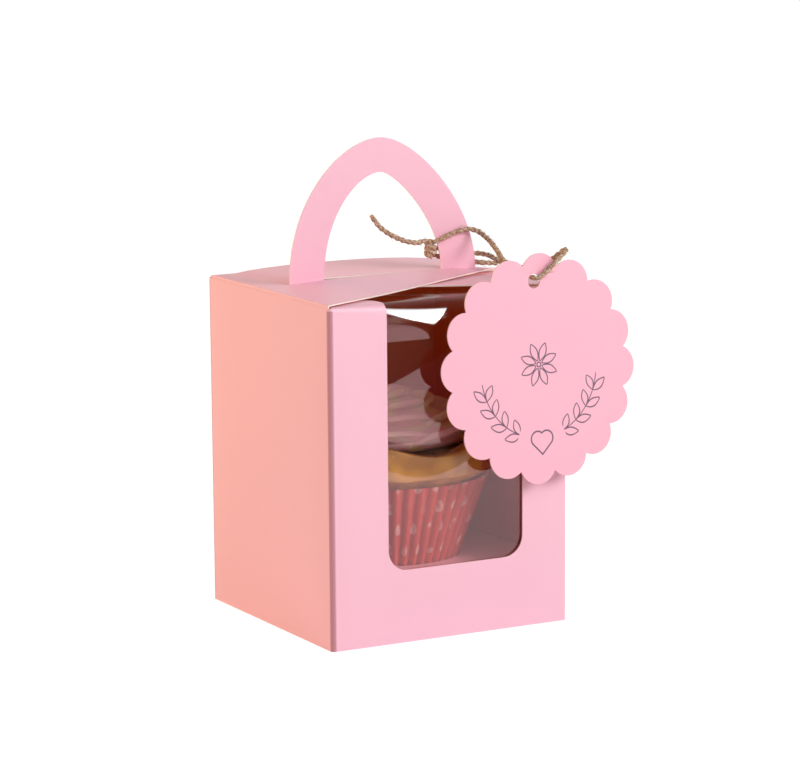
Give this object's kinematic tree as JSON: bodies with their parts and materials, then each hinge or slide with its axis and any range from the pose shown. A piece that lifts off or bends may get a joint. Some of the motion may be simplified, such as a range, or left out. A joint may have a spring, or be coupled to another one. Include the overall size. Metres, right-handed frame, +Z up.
{
  "type": "cupcake box",
  "caption": "Square board carton for a single cupcake, with a film window, a carrying handle on its top flap and a scalloped gift tag on twine.",
  "frame": {"origin": "centre of the carton's footprint, on the surface it stands on", "axes": "+Z up, -Y out of the window panel, +X to the right as the window is seen"},
  "size_m": [0.1124, 0.0958, 0.1598],
  "materials": {
    "pink_board": "pale pink board with a satin print coat and cream cut edges",
    "tag_card": "pink card printed with thin sprigs and a heart in mauve-grey",
    "clear_film": "thin clear glossy film",
    "case_paper": "pleated coral-red paper with small white drops",
    "cake_crumb": "golden-brown baked crumb",
    "frosting_cream": "soft pink frosting with beige swirls",
    "caramel": "glossy golden caramel",
    "jute": "brown jute twine with pale fibres"
  },
  "bodies": {
    "carton": {"carton": "pink_board", "window_film": "clear_film", "insert_tray": "pink_board", "paper_case": "case_paper", "cake": "cake_crumb", "frosting": "frosting_cream", "caramel_trim": "caramel"},
    "handle_flap": {"handle_flap": "pink_board", "gift_tag": "tag_card", "twine_loop": "jute", "twine_long_tail": "jute", "twine_short_tail": "jute", "twine_knot": "jute"}
  },
  "joints": [
    {"name": "handle_flap_fold", "type": "hinge", "parent": "carton", "child": "handle_flap", "pos_m": [-0.044, 0, 0.112], "axis": [0, -1, 0], "range_deg": [0, 110]}
  ]
}
